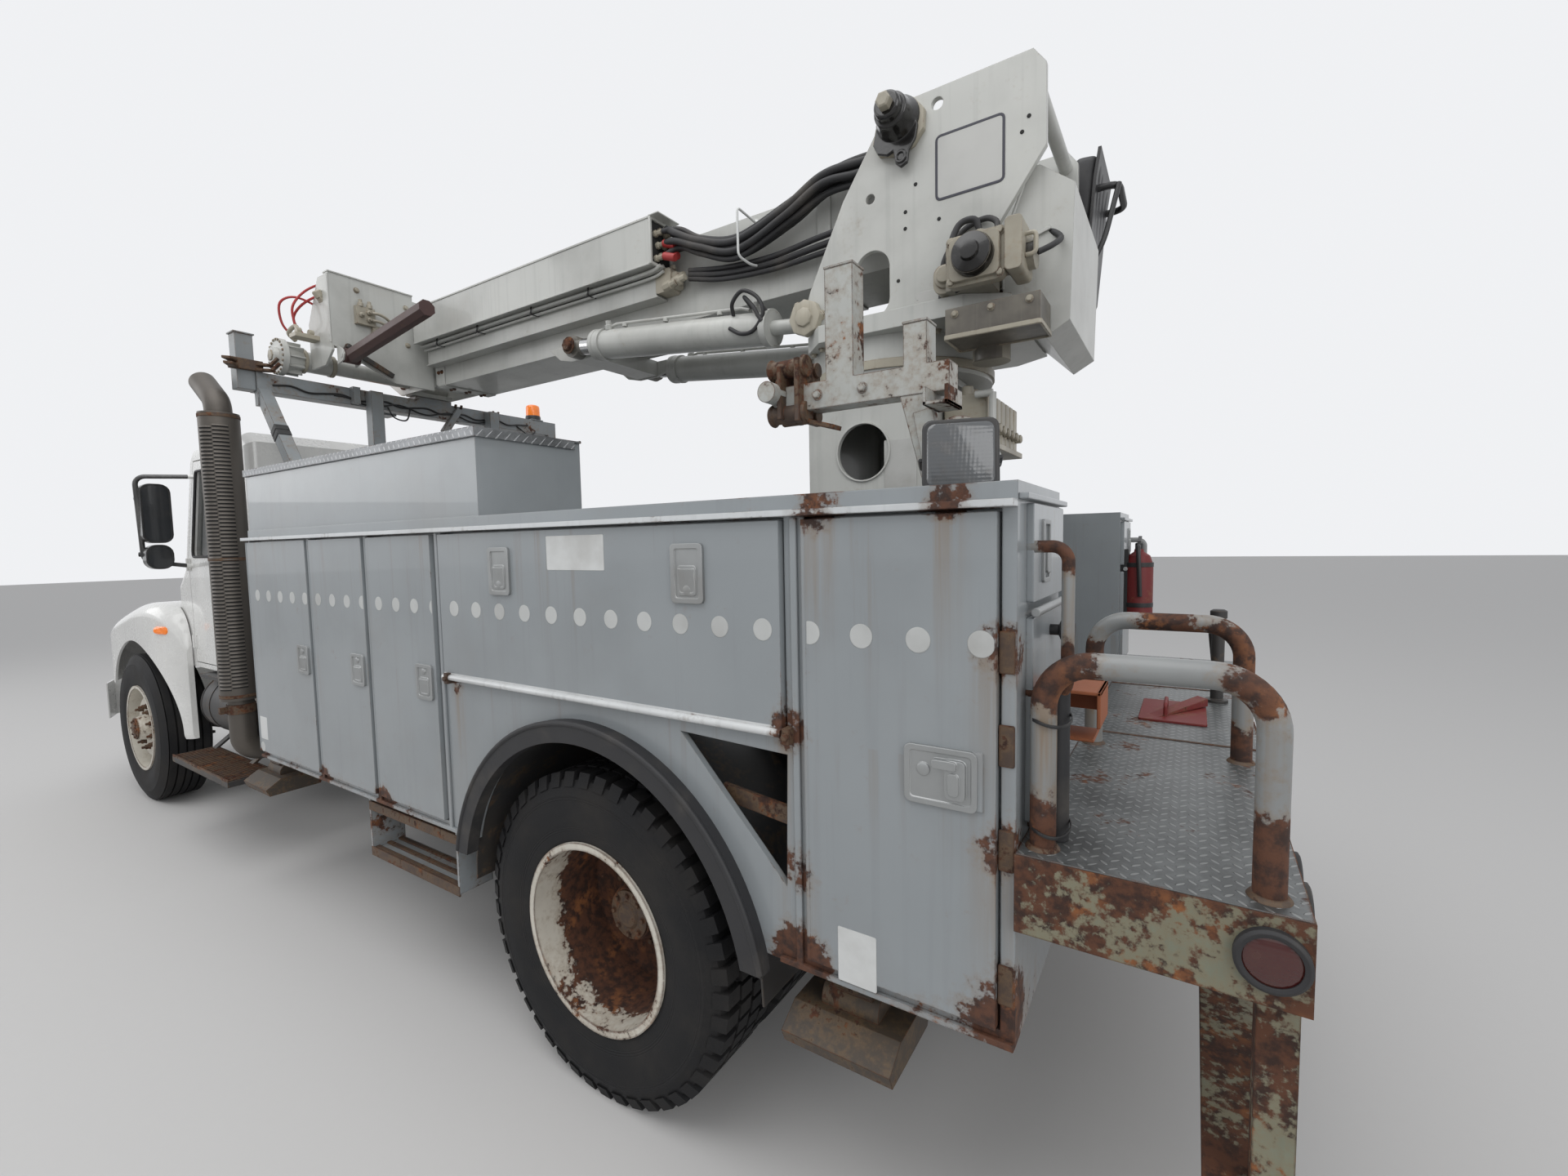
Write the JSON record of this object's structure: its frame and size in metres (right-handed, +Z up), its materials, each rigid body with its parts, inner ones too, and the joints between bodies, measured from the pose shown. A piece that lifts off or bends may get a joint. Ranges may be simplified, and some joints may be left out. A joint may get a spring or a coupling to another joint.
{
  "type": "digger derrick utility truck",
  "caption": "Conventional-cab utility truck with side cabinets, slide-out outriggers and a pedestal-mounted, telescoping derrick boom that turns and lifts.",
  "frame": {"origin": "centre of the bounding box on the ground, where the tyres stand", "axes": "+X forward, towards the bumper; +Y to the truck's left; +Z up; the wheels turn about Y"},
  "size_m": [7.37, 2.5212, 3.252],
  "materials": {
    "frame_black": "semi-gloss black, rust and road dirt",
    "body_grey": "light grey enamel, faded and rust-streaked",
    "cab_white": "white enamel",
    "derrick_cream": "cream-white enamel, weathered",
    "chrome_rod": "polished rod",
    "tread_plate": "diamond tread plate",
    "rusty_steel": "worn paint over rust",
    "shield_steel": "dull, heat-stained",
    "tyre": "matte",
    "rim_white": "white enamel with rust",
    "black_rubber": "weathered",
    "black_plastic": "matte",
    "seat_vinyl": "vinyl",
    "glass": "clear",
    "guide_brown": "dark red-brown"
  },
  "bodies": {
    "chassis": {"frame_rails": "frame_black", "front_axle": "frame_black", "rear_axle": "frame_black", "engine_block": "frame_black", "side_tanks": "frame_black", "exhaust_stack": "shield_steel", "cab_shell": "cab_white", "cab_glass": "glass", "dashboard": "black_plastic", "seats": "seat_vinyl", "bumper": "cab_white", "deck": "tread_plate", "body_left": "body_grey", "body_right": "body_grey", "tail_shelf": "rusty_steel", "grab_hoops": "body_grey", "wheel_flares": "black_rubber", "outrigger_housings": "frame_black", "boom_rest": "body_grey", "pole_rack": "rusty_steel", "pedestal": "derrick_cream"},
    "knuckle_left": {"knuckle_left": "frame_black"},
    "knuckle_right": {"knuckle_right": "frame_black"},
    "wheel_front_left": {"tyre_front_left": "tyre", "rim_front_left": "rim_white"},
    "wheel_front_right": {"tyre_front_right": "tyre", "rim_front_right": "rim_white"},
    "wheels_rear_left": {"tyres_rear_left": "tyre", "rims_rear_left": "rim_white"},
    "wheels_rear_right": {"tyres_rear_right": "tyre", "rims_rear_right": "rim_white"},
    "cab_door_left": {"door_left": "cab_white", "door_glass_left": "glass"},
    "cab_door_right": {"door_right": "cab_white", "door_glass_right": "glass"},
    "hood": {"hood": "cab_white", "grille": "black_plastic"},
    "box_lid": {"box_lid": "tread_plate"},
    "turret": {"turret": "derrick_cream", "winch_drive": "frame_black", "operator_seat": "seat_vinyl"},
    "lift_barrels": {"lift_barrels": "derrick_cream"},
    "lift_rods": {"lift_rods": "chrome_rod"},
    "boom_lower": {"boom_lower": "derrick_cream"},
    "boom_mid": {"boom_mid": "derrick_cream"},
    "boom_upper": {"boom_upper": "derrick_cream"},
    "pole_guide": {"pole_guide": "guide_brown"},
    "cabinet_door_left_1": {"door_left_1": "body_grey"},
    "cabinet_door_left_2": {"door_left_2": "body_grey"},
    "cabinet_door_left_3": {"door_left_3": "body_grey"},
    "cabinet_door_left_rear": {"door_left_rear": "body_grey"},
    "drop_door_left": {"drop_door_left": "body_grey"},
    "cabinet_door_right_1": {"door_right_1": "body_grey"},
    "cabinet_door_right_2": {"door_right_2": "body_grey"},
    "cabinet_door_right_rear": {"door_right_rear": "body_grey"},
    "drop_door_right": {"drop_door_right": "body_grey"},
    "leg_front_left": {"leg_front_left": "rusty_steel"},
    "leg_front_right": {"leg_front_right": "rusty_steel"},
    "leg_rear_left": {"leg_rear_left": "rusty_steel"},
    "leg_rear_right": {"leg_rear_right": "rusty_steel"}
  },
  "joints": [
    {"name": "steer_left", "type": "hinge", "parent": "chassis", "child": "knuckle_left", "pos_m": [2.675, 0.88, 0.515], "axis": [0, 0, 1], "range_deg": [-35, 35]},
    {"name": "steer_right", "type": "hinge", "parent": "chassis", "child": "knuckle_right", "pos_m": [2.675, -0.88, 0.515], "axis": [0, 0, 1], "range_deg": [-35, 35]},
    {"name": "spin_front_left", "type": "hinge", "parent": "knuckle_left", "child": "wheel_front_left", "pos_m": [2.675, 1.02, 0.515], "axis": [0, 1, 0], "continuous": true},
    {"name": "spin_rear_left", "type": "hinge", "parent": "chassis", "child": "wheels_rear_left", "pos_m": [-1.975, 0.885, 0.515], "axis": [0, 1, 0], "continuous": true},
    {"name": "spin_front_right", "type": "hinge", "parent": "knuckle_right", "child": "wheel_front_right", "pos_m": [2.675, -1.02, 0.515], "axis": [0, 1, 0], "continuous": true},
    {"name": "spin_rear_right", "type": "hinge", "parent": "chassis", "child": "wheels_rear_right", "pos_m": [-1.975, -0.885, 0.515], "axis": [0, 1, 0], "continuous": true},
    {"name": "cab_door_left", "type": "hinge", "parent": "chassis", "child": "cab_door_left", "pos_m": [1.988, 1.008, 1.5], "axis": [0, 0, -1], "range_deg": [0, 70]},
    {"name": "cab_door_right", "type": "hinge", "parent": "chassis", "child": "cab_door_right", "pos_m": [1.988, -1.008, 1.5], "axis": [0, 0, 1], "range_deg": [0, 70]},
    {"name": "hood_tilt", "type": "hinge", "parent": "chassis", "child": "hood", "pos_m": [3.555, 0, 0.8], "axis": [0, 1, 0], "range_deg": [0, 60]},
    {"name": "cabinet_door_left_1", "type": "hinge", "parent": "chassis", "child": "cabinet_door_left_1", "pos_m": [0.346, 1.217, 1.25], "axis": [0, 0, -1], "range_deg": [0, 90]},
    {"name": "cabinet_door_left_2", "type": "hinge", "parent": "chassis", "child": "cabinet_door_left_2", "pos_m": [-0.316, 1.217, 1.25], "axis": [0, 0, -1], "range_deg": [0, 90]},
    {"name": "cabinet_door_left_3", "type": "hinge", "parent": "chassis", "child": "cabinet_door_left_3", "pos_m": [-0.808, 1.217, 1.25], "axis": [0, 0, -1], "range_deg": [0, 90]},
    {"name": "cabinet_door_left_rear", "type": "hinge", "parent": "chassis", "child": "cabinet_door_left_rear", "pos_m": [-2.774, 1.217, 1.25], "axis": [0, 0, -1], "range_deg": [0, 90]},
    {"name": "drop_door_left", "type": "hinge", "parent": "chassis", "child": "drop_door_left", "pos_m": [-2.015, 1.222, 1.276], "axis": [-1, 0, 0], "range_deg": [0, 90]},
    {"name": "cabinet_door_right_1", "type": "hinge", "parent": "chassis", "child": "cabinet_door_right_1", "pos_m": [0.346, -1.217, 1.25], "axis": [0, 0, 1], "range_deg": [0, 90]},
    {"name": "cabinet_door_right_2", "type": "hinge", "parent": "chassis", "child": "cabinet_door_right_2", "pos_m": [-0.316, -1.217, 1.25], "axis": [0, 0, 1], "range_deg": [0, 90]},
    {"name": "cabinet_door_right_rear", "type": "hinge", "parent": "chassis", "child": "cabinet_door_right_rear", "pos_m": [-2.774, -1.217, 1.25], "axis": [0, 0, 1], "range_deg": [0, 90]},
    {"name": "drop_door_right", "type": "hinge", "parent": "chassis", "child": "drop_door_right", "pos_m": [-2.015, -1.222, 1.276], "axis": [1, 0, 0], "range_deg": [0, 90]},
    {"name": "box_lid", "type": "hinge", "parent": "chassis", "child": "box_lid", "pos_m": [-0.585, 0.766, 2.1143], "axis": [1, 0, 0], "range_deg": [0, 85]},
    {"name": "leg_front_left", "type": "slide", "parent": "chassis", "child": "leg_front_left", "axis": [0, 0.7431, -0.6691], "range_m": [0, 0.8]},
    {"name": "leg_front_right", "type": "slide", "parent": "chassis", "child": "leg_front_right", "axis": [0, -0.7431, -0.6691], "range_m": [0, 0.8]},
    {"name": "leg_rear_left", "type": "slide", "parent": "chassis", "child": "leg_rear_left", "axis": [0, 0.7431, -0.6691], "range_m": [0, 0.8]},
    {"name": "leg_rear_right", "type": "slide", "parent": "chassis", "child": "leg_rear_right", "axis": [0, -0.7431, -0.6691], "range_m": [0, 0.8]},
    {"name": "turret_rotation", "type": "hinge", "parent": "chassis", "child": "turret", "pos_m": [-2.515, 0, 2.4], "axis": [0, 0, 1], "continuous": true},
    {"name": "barrel_pivot", "type": "hinge", "parent": "turret", "child": "lift_barrels", "pos_m": [-2.28, 0, 2.543], "axis": [0, -1, 0], "range_deg": [0, 78]},
    {"name": "rod_slide", "type": "slide", "parent": "lift_barrels", "child": "lift_rods", "axis": [0.9941, 0, 0.1088], "range_m": [0, 0.9]},
    {"name": "boom_lift", "type": "hinge", "parent": "turret", "child": "boom_lower", "pos_m": [-2.647, 0, 3.11], "axis": [0, -1, 0], "range_deg": [0, 80]},
    {"name": "boom_extend_mid", "type": "slide", "parent": "boom_lower", "child": "boom_mid", "axis": [1, 0, 0], "range_m": [0, 2.1]},
    {"name": "boom_extend_upper", "type": "slide", "parent": "boom_mid", "child": "boom_upper", "axis": [1, 0, 0], "range_m": [0, 2.2]},
    {"name": "pole_guide_tilt", "type": "hinge", "parent": "boom_upper", "child": "pole_guide", "pos_m": [0.479, 0.64, 2.8], "axis": [0, 1, 0], "range_deg": [0, 80]}
  ],
  "couplings": [
    {"joint": "steer_right", "follows": "steer_left", "ratio": 1},
    {"joint": "barrel_pivot", "follows": "boom_lift", "ratio": 0.93487},
    {"joint": "rod_slide", "follows": "boom_lift", "m_per_rad": 0.61163}
  ]
}
